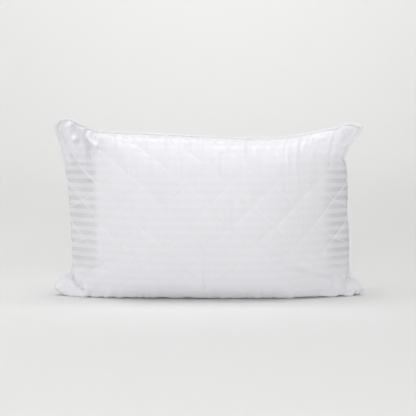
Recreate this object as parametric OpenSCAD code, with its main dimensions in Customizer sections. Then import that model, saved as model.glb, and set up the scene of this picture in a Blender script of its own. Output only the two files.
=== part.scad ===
// Quilted bed pillow standing on one long edge.
// X runs along the length, Y through the thickness with the front towards -Y, and Z up.
// Every layer is a grid of points laid over the same flat panel, so neighbouring layers share their faces.

/* [Panel] */
// Quilting diamonds along the length of a panel
diamonds_long = 7; // [5:1:9]
// Quilting diamonds across the width of a panel
diamonds_wide = 5; // [3:1:6]

/* [Filled shape] */
// Length at the waist, where the short sides draw in
waist_length = 640; // [500:5:800]
// Height of the top seam halfway along
seam_height = 366; // [300:2:450]
// Thickness at the fullest place
thickness = 196; // [120:2:240]
// Height of the fullest place
belly_height = 140; // [110:5:180]
// Width of the strip pressed flat by the ground, front to back
base_width = 100; // [60:2:130]
// Rise of the top corners above the top seam
ear_rise = 40; // [0:1:60]
// Spread of the top corners past the waist
ear_spread = 24; // [0:1:40]
// Spread of the bottom corners past the waist
lobe_spread = 33; // [0:1:45]
// Depth of the valleys that the quilting pulls in
quilt_depth = 5; // [0:0.5:8]

/* [Layers] */
// Thickness of the sateen cover
cover_thickness = 0.8; // [0.6:0.1:1.2]
// Thickness of the quilted wadding between its stitch lines
wadding_thickness = 9; // [4:0.5:12]
// Thickness of the wadding where it is stitched down
wadding_pinched = 1.2; // [1:0.1:2]
// Thickness of the lining behind the wadding
lining_thickness = 0.5; // [0.4:0.1:1]

/* [Piping] */
// Diameter of the cord inside the piping
cord_diameter = 5; // [4:0.5:6]
// Thickness of the fabric sleeve around the cord
sleeve_thickness = 0.9; // [0.7:0.1:1.2]

/* [Sewing] */
// Diameter of the sewing threads
thread_diameter = 1; // [0.8:0.1:1.4]
// Rim cells that the filling opening takes up in the bottom seam
opening_cells = 6; // [4:2:8]
// Thickness of the care label
label_thickness = 0.6; // [0.4:0.1:1]
// Columns between the care label and the end of the top seam
label_inset = 6; // [4:1:10]
// Rows of the panel that the care label hangs over
label_rows = 2; // [2:1:3]

/* [Hidden] */

front = -1;
back = 1;
cells_x = 4 * diamonds_long;
cells_z = 4 * diamonds_wide;
half_waist = waist_length / 2;
half_thickness = thickness / 2;
core_edge = 0.5;
edge_depths = [0, cover_thickness, cover_thickness + wadding_pinched,
    cover_thickness + wadding_pinched + lining_thickness];
half_edge = edge_depths[3] + core_edge;
sleeve_radius = cord_diameter / 2 + sleeve_thickness;
seam_lift = 2 * sleeve_radius;
groove_width = 16;
top_roundness = 1.15;
base_roundness = 0.62;
base_cosine = pow(base_width / thickness, 1 / base_roundness);
base_drop = belly_height / sqrt(1 - base_cosine * base_cosine);
thread_gap = 0.02;
ground_rows = 3;
arc_steps = 60;

// Eases from 0 to 1 as t passes from 0 to 1.
function ease(t) = let (c = min(1, max(0, t))) c * c * (3 - 2 * c);
function bump(t) = exp(-t * t);
function unit(v) = v / norm(v);

// Half thickness at the fraction q of the way from the middle to a short side.
function half_thickness_at(q) =
    half_edge + (half_thickness - half_edge) * pow(1 - pow(abs(q), 3.4), 0.66);

// Height of the top seam at the fraction q.
function seam_height_at(q) =
    seam_height + ear_rise * ease((abs(q) - 0.74) / 0.2) - 8 * ease((abs(q) - 0.94) / 0.06);

// How far a short side stands out past the waist at the height z.
function side_spread(z) =
    lobe_spread * bump((z - 30) / 30) + ear_spread * ease((z - 290) / 90) + 7 * ease((z - 100) / 180);

// One point of the cross-section at the fraction q, where angle runs from -90 at the bottom seam to 90 at the top.
function section_point(q, angle) = let (
    above = angle > 0,
    swell = pow(max(0, cos(angle)), above ? top_roundness : base_roundness),
    y = half_edge + (half_thickness_at(q) - half_edge) * swell,
    rise = above ? seam_height_at(q) - belly_height : base_drop,
    z = max(0, belly_height + rise * sin(angle)),
    groove = seam_lift * (1 - ease((y - half_edge) / groove_width))
) [y, max(z, groove)];

function running_sum(steps, k = 0, total = 0) =
    k == len(steps) ? [total] : concat([total], running_sum(steps, k + 1, total + steps[k]));

// Pairs of distance along a line, as a fraction of its length, and the parameter there.
function arc_table(points, parameters) = let (
    steps = [for (k = [1:len(points) - 1]) norm(points[k] - points[k - 1])],
    sums = running_sum(steps)
) [for (k = [0:len(parameters) - 1]) [sums[k] / sums[len(steps)], parameters[k]]];

// Panel columns are evenly spaced along the cloth, so they crowd together where it turns to the short sides.
half_fractions = [for (k = [0:arc_steps]) k / arc_steps];
length_table = arc_table([for (q = half_fractions) [q * half_waist, half_thickness_at(q)]], half_fractions);
function column_fraction(i) = let (a = 2 * i / cells_x - 1) sign(a) * lookup(abs(a), length_table);

section_angles = [for (k = [0:arc_steps]) -90 + 180 * k / arc_steps];
function section_table(q) = arc_table([for (angle = section_angles) section_point(q, angle)], section_angles);

// Points of one column of the back panel before quilting, from the bottom seam to the top seam.
function column_points(i) = let (q = column_fraction(i), table = section_table(q)) [
    for (j = [0:cells_z]) let (
        p = section_point(q, lookup(j / cells_z, table)),
        x = q * half_waist + sign(q) * pow(abs(q), 8) * side_spread(p[1])
    ) [x, p[0], p[1]]
];
smooth = [for (i = [0:cells_x]) column_points(i)];

function on_edge(i, j) = i == 0 || i == cells_x || j == 0 || j == cells_z;
function inward(i, j) = on_edge(i, j) ? [0, -1, 0] :
    unit(cross(smooth[i + 1][j] - smooth[i - 1][j], smooth[i][j + 1] - smooth[i][j - 1]));
normals = [for (i = [0:cells_x]) [for (j = [0:cells_z]) inward(i, j)]];

// 1 in the middle of a diamond and 0 on its stitch lines.
function puff(i, j) = let (a = i - cells_x / 2, b = j - cells_z / 2) abs(cos(45 * (a + b)) * cos(45 * (a - b)));

// Cells between a point and the nearest seam, as 0 at the seam to 1 well inside.
function inside(i, j) = ease(min(i, cells_x - i, j, cells_z - j) / 2);

// Depth below the unquilted shape of layer boundary k: 0 is the outside of the cover, 3 is the inside of the lining.
function wadding_at(i, j) = wadding_pinched + (wadding_thickness - wadding_pinched) * puff(i, j) * inside(i, j);
function boundary_depth(i, j, k) = on_edge(i, j) ? edge_depths[k] :
    let (valley = quilt_depth * (1 - puff(i, j)) * inside(i, j) * ease(smooth[i][j][2] / 30))
    valley + (k > 0 ? cover_thickness : 0) + (k > 1 ? wadding_at(i, j) : 0) + (k > 2 ? lining_thickness : 0);

function boundary_point(i, j, k, side) = let (p = smooth[i][j] + normals[i][j] * boundary_depth(i, j, k))
    [p[0], side * p[1], p[2]];
function boundary(k, side) = [for (i = [0:cells_x]) for (j = [0:cells_z]) boundary_point(i, j, k, side)];

// A cell splits along a stitch line when one crosses it.
function falling(i, j) = let (s = i + j + 1 - cells_x / 2 - cells_z / 2) (s % 4 + 4) % 4 == 2;
function turned(faces) = [for (f = faces) [f[2], f[1], f[0]]];

// Faces over a grid of nx by nz cells whose points start at the index first and run up each column in turn.
function grid_faces(nx, nz, first) = [
    for (i = [0:nx - 1]) for (j = [0:nz - 1]) let (
        a = first + i * (nz + 1) + j, b = a + nz + 1, c = b + 1, d = a + 1
    ) each (falling(i, j) ? [[a, b, d], [b, c, d]] : [[a, b, c], [a, c, d]])
];

// The rim of a grid, once round from its bottom left corner, as grid places.
function rim_places(nx, nz) = concat(
    [for (i = [0:nx - 1]) [i, 0]],
    [for (j = [0:nz - 1]) [nx, j]],
    [for (i = [nx:-1:1]) [i, nz]],
    [for (j = [nz:-1:1]) [0, j]]
);
function wall_faces(nx, nz) = let (
    places = rim_places(nx, nz),
    indices = [for (p = places) p[0] * (nz + 1) + p[1]],
    count = len(indices),
    far = (nx + 1) * (nz + 1)
) [
    for (n = [0:count - 1]) let (a = indices[n], b = indices[(n + 1) % count])
        each [[b, a + far, a], [b + far, a + far, b]]
];

// A closed solid between two grids of points; near is the one towards -Y.
module between(near, far, nx = cells_x, nz = cells_z) {
    faces = concat(turned(grid_faces(nx, nz, 0)), grid_faces(nx, nz, (nx + 1) * (nz + 1)), wall_faces(nx, nz));
    polyhedron(points = concat(near, far), faces = faces, convexity = 6);
}

module layer(k, side) {
    if (side == front) between(boundary(k, front), boundary(k + 1, front));
    else between(boundary(k + 1, back), boundary(k, back));
}

// The panel's rim: its path, its outward direction in the XZ plane, and points set off from it.
rim = rim_places(cells_x, cells_z);
rim_count = len(rim);
function rim_place(n) = let (r = rim[(n + rim_count) % rim_count], p = smooth[r[0]][r[1]]) [p[0], 0, p[2]];
function rim_outward(n) = let (t = unit(rim_place(n + 1) - rim_place(n - 1))) [t[2], 0, -t[0]];
function rim_point(n, out, y) = rim_place(n) + out * rim_outward(n) + [0, y, 0];

// Joins rings of equal size into a tube; closed runs the last ring back to the first.
function tube_faces(rings, sides, closed) = concat(
    [for (n = [0:rings - (closed ? 1 : 2)]) for (k = [0:sides - 1]) let (
        a = n * sides + k, b = n * sides + (k + 1) % sides,
        m = (n + 1) % rings, c = m * sides + (k + 1) % sides, d = m * sides + k
    ) each [[a, b, c], [a, c, d]]],
    closed ? [] : [[for (k = [sides - 1:-1:0]) k], [for (k = [0:sides - 1]) (rings - 1) * sides + k]]
);
module tube(rings, sides, closed) {
    polyhedron(points = [for (ring = rings) each ring], faces = tube_faces(len(rings), sides, closed));
}

// The piping's profile, as distance out from the rim and distance from the middle plane.
cord_sides = 5;
cord_angles = [for (k = [0:cord_sides - 1]) (k - 2) * 360 / cord_sides];
function around(radius, angle) = [sleeve_radius + radius * cos(angle), radius * sin(angle)];
sleeve_end = 0.6 * sleeve_radius;
sleeve_inner_end = 0.35 * sleeve_radius;
sleeve_profile = concat(
    [[0, -sleeve_end]],
    [for (k = [1:cord_sides - 2]) around(sleeve_radius, cord_angles[k])],
    [[0, sleeve_end], [0, sleeve_inner_end]],
    [for (k = [cord_sides - 1:-1:0]) around(cord_diameter / 2, cord_angles[k])],
    [[0, -sleeve_inner_end]]
);
cord_profile = [for (angle = cord_angles) around(cord_diameter / 2, angle)];
module along_rim(profile) {
    rings = [for (n = [0:rim_count - 1]) [for (p = profile) rim_point(n, p[0], p[1])]];
    tube(rings, len(profile), true);
}

// A three-sided thread through points, lying on the cover with its flat side down.
function thread_ring(points, lifts, n, closed) = let (
    last = len(points) - 1,
    next = closed ? (n + 1) % (last + 1) : min(n + 1, last),
    previous = closed ? (n + last) % (last + 1) : max(n - 1, 0),
    along = unit(points[next] - points[previous]),
    up = lifts[n],
    across = unit(cross(along, up)) * thread_diameter / 2
) [points[n] - across, points[n] + across, points[n] + up * thread_diameter];
module thread(points, lifts, closed = false) {
    tube([for (n = [0:len(points) - 1]) thread_ring(points, lifts, n, closed)], 3, closed);
}

// Grid places of the stitch line whose places share one sum (falling lines) or difference (rising lines).
// The rows pressed on the ground have no thread standing out of them.
function stitch_line(value, rising) = [
    for (i = [0:cells_x]) let (
        a = i - cells_x / 2, b = rising ? a - value : value - a, j = b + cells_z / 2
    ) if (j >= ground_rows && j <= cells_z) [i, j]
];
function cover_place(p, side) = boundary_point(p[0], p[1], 0, side);
function cover_lift(p, side) = let (n = -normals[p[0]][p[1]]) [n[0], side * n[1], n[2]];
function shortened(points) = let (last = len(points) - 1) [
    for (n = [0:last]) n == 0 ? points[1] + (points[0] - points[1]) * 0.55 :
        n == last ? points[last - 1] + (points[last] - points[last - 1]) * 0.55 : points[n]
];
module quilting(side) {
    reach = cells_x / 2 + cells_z / 2 - 2;
    for (rising = [false, true]) for (value = [-reach:4:reach]) {
        line = stitch_line(value, rising);
        thread(shortened([for (p = line) cover_place(p, side)]), [for (p = line) cover_lift(p, side)]);
    }
}

// A seam thread in the groove between the piping and one cover, over the rim places from first to last.
module rim_thread(first, last, side, closed) {
    points = [for (n = [first:last]) rim_point(n, thread_diameter / 5, side * (half_edge + thread_gap))];
    thread(points, [for (n = [first:last]) [0, side, 0]], closed);
}

// Points lifted off the back cover over a part of its grid.
function lifted(columns, rows, lift) = [
    for (i = columns) for (j = rows) cover_place([i, j], back) + cover_lift([i, j], back) * lift
];

module front_cover() {
    color("white") layer(0, front);
}
module back_cover() {
    color("whitesmoke") layer(0, back);
}
module front_wadding() {
    color("ivory") layer(1, front);
}
module back_wadding() {
    color("ivory") layer(1, back);
}
module front_lining() {
    color("gainsboro") layer(2, front);
}
module back_lining() {
    color("gainsboro") layer(2, back);
}
module fibre_fill() {
    color("snow") between(boundary(3, front), boundary(3, back));
}
module piping_sleeve() {
    color("white") along_rim(sleeve_profile);
}
module piping_cord() {
    color("ivory") along_rim(cord_profile);
}
module front_quilting_thread() {
    color("lightgray") quilting(front);
}
module back_quilting_thread() {
    color("lightgray") quilting(back);
}
module perimeter_stitching() {
    color("silver") rim_thread(0, rim_count - 1, front, true);
}
module closing_stitch() {
    middle = cells_x / 2;
    color("silver") rim_thread(middle - opening_cells / 2, middle + opening_cells / 2, back, false);
}
module care_label() {
    columns = [label_inset, label_inset + 1];
    rows = [cells_z - label_rows:cells_z];
    near = lifted(columns, rows, thread_gap);
    far = lifted(columns, rows, thread_gap + label_thickness);
    color("white") between(near, far, 1, label_rows);
}

front_cover();
back_cover();
front_wadding();
back_wadding();
front_lining();
back_lining();
fibre_fill();
piping_sleeve();
piping_cord();
front_quilting_thread();
back_quilting_thread();
perimeter_stitching();
closing_stitch();
care_label();
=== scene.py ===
"""A quilted bed pillow standing on its long edge, made round a fixed frame.

The flat panels are laid over the filled shape, inflated as cloth, and then quilted. Every layer, thread
and strip is worked out from the two quilted surfaces that come out of that.
"""

import math

import bpy
import numpy as np
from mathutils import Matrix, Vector


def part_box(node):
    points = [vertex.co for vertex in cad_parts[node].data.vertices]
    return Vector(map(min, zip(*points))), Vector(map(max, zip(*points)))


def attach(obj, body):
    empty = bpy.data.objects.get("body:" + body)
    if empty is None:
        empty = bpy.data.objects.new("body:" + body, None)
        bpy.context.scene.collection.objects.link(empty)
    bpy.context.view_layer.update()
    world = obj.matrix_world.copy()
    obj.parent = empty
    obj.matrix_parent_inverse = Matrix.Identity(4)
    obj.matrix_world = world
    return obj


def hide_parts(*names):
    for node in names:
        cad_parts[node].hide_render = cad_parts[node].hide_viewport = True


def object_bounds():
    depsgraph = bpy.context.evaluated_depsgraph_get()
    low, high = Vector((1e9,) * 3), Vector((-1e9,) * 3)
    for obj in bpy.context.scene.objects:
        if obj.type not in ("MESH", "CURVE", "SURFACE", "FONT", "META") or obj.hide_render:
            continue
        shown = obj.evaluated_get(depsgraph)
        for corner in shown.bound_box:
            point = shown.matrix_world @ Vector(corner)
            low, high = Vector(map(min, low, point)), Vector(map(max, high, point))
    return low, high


bl_info = {
    "name": "Quilted bed pillow",
    "version": (1, 0, 0),
    "blender": (4, 5, 0),
    "location": "View3D > Sidebar > Pillow",
    "description": "Builds a quilted, piped bed pillow around its packed frame",
    "category": "Mesh",
}

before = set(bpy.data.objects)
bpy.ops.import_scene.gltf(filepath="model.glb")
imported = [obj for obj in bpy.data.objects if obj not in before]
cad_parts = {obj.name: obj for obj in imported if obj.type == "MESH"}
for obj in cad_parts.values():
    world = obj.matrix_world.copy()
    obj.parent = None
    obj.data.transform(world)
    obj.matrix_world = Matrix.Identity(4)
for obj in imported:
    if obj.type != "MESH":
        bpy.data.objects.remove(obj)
FRAME_BOX = [list(corner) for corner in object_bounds()]
SLEEVE_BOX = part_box("piping_sleeve")

FRONT, BACK = -1, 1
MM = 0.001


# ------------------------------------------------------------------ sizes and colours


def number_setting(name, description, default, **options):
    """A number on the panel."""
    return bpy.props.FloatProperty(name=name, description=description, default=default, **options)


def count_setting(name, description, default):
    """A whole number on the panel, three or more."""
    return bpy.props.IntProperty(name=name, description=description, default=default, min=3)


def length_setting(name, description, default):
    """A length on the panel."""
    return number_setting(name, description, default, unit="LENGTH")


def colour_setting(name, description, *default):
    """A colour on the panel."""
    return bpy.props.FloatVectorProperty(
        name=name, description=description, subtype="COLOR", size=4, default=(*default, 1))


class PillowShape(bpy.types.PropertyGroup):
    """Sizes of the cut panels and of the filled pillow."""

    cut_length: length_setting("Cut length", "Length of a flat panel", 0.75)
    cut_width: length_setting("Cut width", "Width of a flat panel", 0.50)
    diamonds_long: count_setting("Diamonds along", "Quilting diamonds along the length", 7)
    diamonds_wide: count_setting("Diamonds across", "Quilting diamonds across the width", 5)
    half_waist: length_setting("Half waist", "From the middle to a side seam where it draws in", 0.320)
    half_thickness: length_setting(
        "Half thickness", "From the middle plane to the fullest place", float(FRAME_BOX[1][1]) + 0.001)
    seam_height: length_setting("Seam height", "Height of the top seam halfway along", 0.366)
    belly_height: length_setting("Belly height", "Height of the fullest place", 0.140)
    base_width: length_setting("Base width", "Strip that the ground presses flat", 0.100)
    pressure: number_setting("Pressure", "How hard the filling pushes on the covers", 4.0, min=0.0)
    quilt_depth: length_setting("Quilt depth", "Depth of the valleys under the stitch lines", 1.2 * MM)
    side_swell: length_setting("Side swell", "How far the cloth swells out past a side seam", 14 * MM)
    puff_height: length_setting("Puff height", "Rise of each diamond between its stitch lines", 1.6 * MM)


class PillowCloth(bpy.types.PropertyGroup):
    """Thicknesses, stripe and colours of the cloths and threads."""

    cover: length_setting("Cover", "Thickness of the sateen", 0.8 * MM)
    wadding: length_setting("Wadding", "Thickness of the wadding between stitch lines", 9 * MM)
    pinched: length_setting("Pinched wadding", "Thickness of the wadding where it is stitched", 1.2 * MM)
    lining: length_setting("Lining", "Thickness of the lining", 0.5 * MM)
    stripe: length_setting("Stripe repeat", "One satin stripe and one plain stripe", 0.020)
    white: colour_setting("White", "Colour of the sateen", 0.80, 0.795, 0.83)
    thread: colour_setting("Thread", "Colour of the sewing thread", 0.90, 0.90, 0.92)
    fibre: colour_setting("Fibre", "Colour of the wadding and the filling", 0.78, 0.78, 0.79)


class PillowStage(bpy.types.PropertyGroup):
    """Floor and camera."""

    floor: colour_setting("Floor", "Colour of the sweep", 0.79, 0.79, 0.785)
    lens: number_setting("Lens", "Focal length in millimetres", 93.0)
    distance: length_setting("Distance", "From the camera to the pillow", 2.5)
    elevation: number_setting(
        "Elevation", "Angle of the camera above level", math.radians(6.8), subtype="ANGLE")
    aim_height: length_setting("Aim height", "Height that the camera looks at", 0.204)


def settings(name):
    """The property group of that name on the scene."""
    return getattr(bpy.context.scene, f"pillow_{name}")


# ------------------------------------------------------------------ small sums


def ease(t):
    """Goes from 0 to 1 as t does: three t squared less two t cubed, held flat outside."""
    c = np.clip(t, 0, 1)
    return c * c * (3 - 2 * c)


def bell(t):
    """e to the power of minus t squared."""
    return np.exp(-np.square(t))


def unit(v):
    """Each vector divided by its own length."""
    return v / np.maximum(np.linalg.norm(v, axis=-1, keepdims=True), 1e-12)


def smooth_path(table, count):
    """Cubic Hermite curve through rows of (place, x, y, z), sampled evenly in place from 0 to 1."""
    knots = np.array(table, float)
    s = np.linspace(0, 1, count)
    slopes = np.gradient(knots[:, 1:], knots[:, 0], axis=0)
    i = np.clip(np.searchsorted(knots[:, 0], s) - 1, 0, len(knots) - 2)
    h = (knots[i + 1, 0] - knots[i, 0])[:, None]
    t = (s - knots[i, 0])[:, None] / h
    return ((2 * t**3 - 3 * t**2 + 1) * knots[i, 1:] + (t**3 - 2 * t**2 + t) * h * slopes[i]
            + (3 * t**2 - 2 * t**3) * knots[i + 1, 1:] + (t**3 - t**2) * h * slopes[i + 1])


def soft_noise(u, v, seed):
    """Smooth noise from -1 to 1: random values on whole numbers of u and v, eased between them."""
    lattice = np.random.default_rng(seed).uniform(-1, 1, (64, 64))
    iu, iv = np.floor(u).astype(int), np.floor(v).astype(int)
    tu, tv = ease(u - iu), ease(v - iv)
    corner = [[lattice[(iu + a) % 64, (iv + b) % 64] for b in (0, 1)] for a in (0, 1)]
    low = corner[0][0] * (1 - tv) + corner[0][1] * tv
    high = corner[1][0] * (1 - tv) + corner[1][1] * tv
    return low * (1 - tu) + high * tu


def doubled(grid):
    """A grid with a new row between each two along its first axis: nine sixteenths of the two beside it
    less one sixteenth of the two beyond them."""
    first = 2 * grid[:1] - grid[1:2]
    last = 2 * grid[-1:] - grid[-2:-1]
    wide = np.concatenate([first, grid, last])
    between = (9 * (wide[1:-2] + wide[2:-1]) - wide[:-3] - wide[3:]) / 16
    out = np.empty((2 * len(grid) - 1, *grid.shape[1:]))
    out[::2], out[1::2] = grid, between
    return out


def refined(grid):
    """The grid with twice as many cells each way."""
    return doubled(doubled(grid).swapaxes(0, 1)).swapaxes(0, 1)


# ------------------------------------------------------------------ the filled shape

EDGE = 2.8 * MM
SIM_CELLS = 4  # cells to a quarter of a diamond in the cloth simulation
SIM_FRAMES = 24
CALMING_ROUNDS = 24
ARC_STEPS = 400
TOP_ROUND, BASE_ROUND = 1.15, 0.62
SIDE_POWER, SIDE_ROUND = 3.4, 0.66

# The rim as the pillow stands: rows of (share of the seam, x, y, z) at the places where it bends.
LEFT_SEAM = [
    (0, -0.345, -0.004, 0.008), (0.04, -0.357, -0.008, 0.019), (0.09, -0.341, -0.006, 0.038),
    (0.14, -0.321, -0.002, 0.053), (0.21, -0.312, 0, 0.082), (0.32, -0.312, 0, 0.128),
    (0.5, -0.315, 0, 0.205), (0.68, -0.324, -0.004, 0.285), (0.80, -0.333, -0.014, 0.335),
    (0.90, -0.342, -0.026, 0.376), (0.96, -0.345, -0.034, 0.398), (1, -0.334, -0.038, 0.409),
]
RIGHT_SEAM = [
    (0, 0.350, -0.004, 0.008), (0.04, 0.359, -0.008, 0.015), (0.09, 0.350, -0.006, 0.030),
    (0.14, 0.332, -0.002, 0.045), (0.21, 0.325, 0, 0.078), (0.32, 0.325, 0, 0.128), (0.5, 0.319, 0, 0.205),
    (0.68, 0.316, -0.010, 0.285), (0.80, 0.311, -0.030, 0.330), (0.90, 0.326, -0.044, 0.362),
    (0.96, 0.340, -0.051, 0.381), (1, 0.346, -0.054, 0.394),
]
TOP_SEAM = [
    (0, -0.334, -0.038, 0.409), (0.035, -0.314, -0.032, 0.408), (0.08, -0.288, -0.020, 0.395),
    (0.13, -0.260, -0.008, 0.382), (0.20, -0.215, 0, 0.378), (0.33, -0.125, 0, 0.374),
    (0.5, 0, 0, 0.368), (0.62, 0.085, 0, 0.364), (0.76, 0.190, 0, 0.368), (0.84, 0.248, -0.006, 0.379),
    (0.91, 0.294, -0.028, 0.390), (0.965, 0.328, -0.046, 0.400), (1, 0.346, -0.054, 0.394),
]
BOTTOM_SEAM = [
    (0, -0.345, -0.004, 0.008), (0.03, -0.326, -0.002, 0.0068), (0.5, 0, 0, 0.0068),
    (0.97, 0.331, -0.002, 0.0068), (1, 0.350, -0.004, 0.008),
]


def half_thickness_at(q):
    """Half thickness at the share q of the way from the middle to a side seam: a superellipse, the full
    thickness times (1 - q to the SIDE_POWER) to the SIDE_ROUND, on top of the edge's own."""
    full = settings("shape").half_thickness
    return EDGE + (full - EDGE) * np.power(np.clip(1 - np.abs(q) ** SIDE_POWER, 0, 1), SIDE_ROUND)


def section(q, angle):
    """Distance from the middle plane and height on the cross-section at q, for angles from the bottom seam
    to the top seam: powers of the cosine outwards, the sine upwards, cut flat by the ground, with a groove
    under the bottom seam."""
    shape = settings("shape")
    above = angle > 0
    swell = np.power(np.clip(np.cos(angle), 0, None), np.where(above, TOP_ROUND, BASE_ROUND))
    y = EDGE + (half_thickness_at(q) - EDGE) * swell
    cosine = (shape.base_width / 2 / shape.half_thickness) ** (1 / BASE_ROUND)
    drop = shape.belly_height / math.sqrt(1 - cosine * cosine)
    rise = np.where(above, shape.seam_height - shape.belly_height, drop)
    z = np.maximum(0, shape.belly_height + rise * np.sin(angle))
    groove = BOTTOM_SEAM[1][3] * (1 - ease((y - EDGE) / 0.016))
    return y, np.maximum(z, groove)


def shares(*coordinates):
    """Distance along a line through those points, as a share of its length."""
    steps = np.sqrt(sum(np.square(np.diff(c)) for c in coordinates))
    along = np.concatenate([[0], np.cumsum(steps)])
    return along / along[-1]


def plain_half(cells_x, cells_z):
    """Half of the pillow before its corners are drawn out: cross-sections set along the length so that the
    columns and rows lie evenly on the cloth."""
    half_waist = settings("shape").half_waist
    q = np.linspace(0, 1, ARC_STEPS)
    along = shares(q * half_waist, half_thickness_at(q))
    a = np.linspace(-1, 1, cells_x + 1)
    columns = np.sign(a) * np.interp(np.abs(a), along, q)
    angles = np.linspace(-np.pi / 2, np.pi / 2, ARC_STEPS)
    rows = np.linspace(0, 1, cells_z + 1)
    points = np.zeros((cells_x + 1, cells_z + 1, 3))
    for i, column in enumerate(columns):
        spaced = np.interp(rows, shares(*section(column, angles)), angles)
        points[i, :, 1:] = np.stack(section(column, spaced), -1)
        points[i, :, 0] = column * half_waist
    return points


def between_edges(left, right, bottom, top):
    """A Coons patch: the two straight blends between opposite edges, less the blend of the corners."""
    s = np.linspace(0, 1, len(bottom))[:, None, None]
    t = np.linspace(0, 1, len(left))[None, :, None]
    corners = ((1 - s) * (1 - t) * left[0] + s * (1 - t) * right[0]
               + (1 - s) * t * left[-1] + s * t * right[-1])
    return (1 - s) * left + s * right + (1 - t) * bottom[:, None] + t * top[:, None] - corners


def rim_mask(cells_x, cells_z):
    """True on the outermost points of a grid."""
    mask = np.zeros((cells_x + 1, cells_z + 1), bool)
    mask[[0, -1]] = True
    mask[:, [0, -1]] = True
    return mask


def flat_places(cells_x, cells_z):
    """Where each grid point lies on the flat panel: distances from its middle along and across."""
    shape = settings("shape")
    x = np.linspace(-0.5, 0.5, cells_x + 1) * shape.cut_length
    z = np.linspace(-0.5, 0.5, cells_z + 1) * shape.cut_width
    return np.meshgrid(x, z, indexing="ij")


def seam_distance(x, z):
    """Distance on the flat panel to the nearest seam."""
    shape = settings("shape")
    return np.minimum(shape.cut_length / 2 - np.abs(x), shape.cut_width / 2 - np.abs(z))


def filled_shape(cells_x, cells_z):
    """Front and back surfaces before inflation: plain halves with their rims pulled on to the seams."""
    plain = plain_half(cells_x, cells_z)
    rims = [smooth_path(LEFT_SEAM, cells_z + 1), smooth_path(RIGHT_SEAM, cells_z + 1),
            smooth_path(BOTTOM_SEAM, cells_x + 1), smooth_path(TOP_SEAM, cells_x + 1)]
    flat = plain * [1, 0, 1]
    pulls = [rim - edge for rim, edge in zip(rims, (flat[0], flat[-1], flat[:, 0], flat[:, -1]))]
    x, z = flat_places(cells_x, cells_z)
    reach = 0.15 + 0.85 * np.exp(-seam_distance(x, z) / 0.06)
    pull = between_edges(*pulls) * reach[..., None]
    surfaces = [plain * [1, side, 1] + pull for side in (FRONT, BACK)]
    rim = rim_mask(cells_x, cells_z)
    middle = sum(surfaces) / 2
    for surface in surfaces:
        surface[..., 2] = np.maximum(surface[..., 2], 0)
        surface[rim] = middle[rim]
    return surfaces


# ------------------------------------------------------------------ inflation as cloth


def joined_quads(cells_x, cells_z):
    """Quads of two grids that share their rim, and where each point of the second grid is in one list."""
    count = (cells_x + 1) * (cells_z + 1)
    first = np.arange(count).reshape(cells_x + 1, cells_z + 1)
    rim = rim_mask(cells_x, cells_z)
    second = first.copy()
    second[~rim] = count + np.arange((~rim).sum())

    def quads(n):
        return np.stack([n[:-1, :-1], n[1:, :-1], n[1:, 1:], n[:-1, 1:]], -1).reshape(-1, 4)

    return np.concatenate([quads(first), quads(second)[:, ::-1]]), second


def inflate(front, back, frames):
    """Runs the two panels as one cloth bag. The rim is held, the springs want the flat panel's lengths, the
    filling pushes from inside, and the ground holds the base up."""
    shape = settings("shape")
    cells_x, cells_z = front.shape[0] - 1, front.shape[1] - 1
    rim = rim_mask(cells_x, cells_z)
    quads, second = joined_quads(cells_x, cells_z)
    points = np.concatenate([front.reshape(-1, 3), back[~rim]])
    x, z = flat_places(cells_x, cells_z)
    flat = np.stack([x, np.zeros_like(x), z], -1)
    rest = np.concatenate([flat.reshape(-1, 3), flat[~rim]])
    mesh = bpy.data.meshes.new("bag")
    mesh.from_pydata(points.tolist(), [], quads.tolist())
    bag = bpy.data.objects.new("bag", mesh)
    bpy.context.scene.collection.objects.link(bag)
    bag.shape_key_add(name="filled")
    key = bag.shape_key_add(name="flat")
    key.data.foreach_set("co", rest.ravel())
    key.value = 0
    held = bag.vertex_groups.new(name="rim")
    held.add([int(n) for n in np.flatnonzero(rim)], 1.0, "REPLACE")
    cloth = bag.modifiers.new("cloth", "CLOTH")
    s = cloth.settings
    s.vertex_group_mass, s.pin_stiffness, s.rest_shape_key = "rim", 5, key
    s.quality, s.mass, s.air_damping = 5, 0.3, 1
    s.tension_stiffness, s.compression_stiffness, s.shear_stiffness = 15, 5, 5
    s.bending_model, s.bending_stiffness = "ANGULAR", 0.5
    s.use_pressure, s.uniform_pressure_force = True, shape.pressure
    s.effector_weights.gravity = 0
    cloth.collision_settings.use_collision = True
    cloth.collision_settings.use_self_collision = False
    cloth.collision_settings.distance_min = 2 * MM
    cloth.point_cache.frame_end = frames
    square = np.array([[-1, -1, 0], [-1, 1, 0], [1, -1, 0], [1, 1, 0]], float)
    ground = make_object("ground", square, [[0, 2, 3], [0, 3, 1]])
    ground.location.z = -3 * MM
    ground.modifiers.new("stop", "COLLISION")
    ground.collision.thickness_outer = 3 * MM
    ground.collision.cloth_friction = 8
    scene = bpy.context.scene
    for n in range(1, frames + 1):
        scene.frame_set(n)
    done = bag.evaluated_get(bpy.context.evaluated_depsgraph_get()).to_mesh()
    co = np.empty(len(points) * 3)
    done.vertices.foreach_get("co", co)
    co = co.reshape(-1, 3)
    for used in (bag, ground):
        bpy.data.objects.remove(used, do_unlink=True)
    scene.frame_set(1)
    return co[: front[..., 0].size].reshape(front.shape), co[second]


def calmed(start, moved, x, z):
    """The inflated surface with its buckles eased out near the ground, and less so elsewhere: each point's
    move is mixed with the move that many averagings with its neighbours give."""
    even = moved - start
    for _ in range(CALMING_ROUNDS):
        inner = 4 * even[1:-1, 1:-1] + even[:-2, 1:-1] + even[2:, 1:-1] + even[1:-1, :-2] + even[1:-1, 2:]
        even[1:-1, 1:-1] = inner / 8
    share = 0.25 + 0.65 * ease(-z / 0.16) * ease((0.30 - x) / 0.15)
    return moved + (start + even - moved) * share[..., None]


# ------------------------------------------------------------------ quilting and gathers

# Distance from a seam over which the folds and crumples ease in.
CREASE_EASE = 12 * MM
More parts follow.
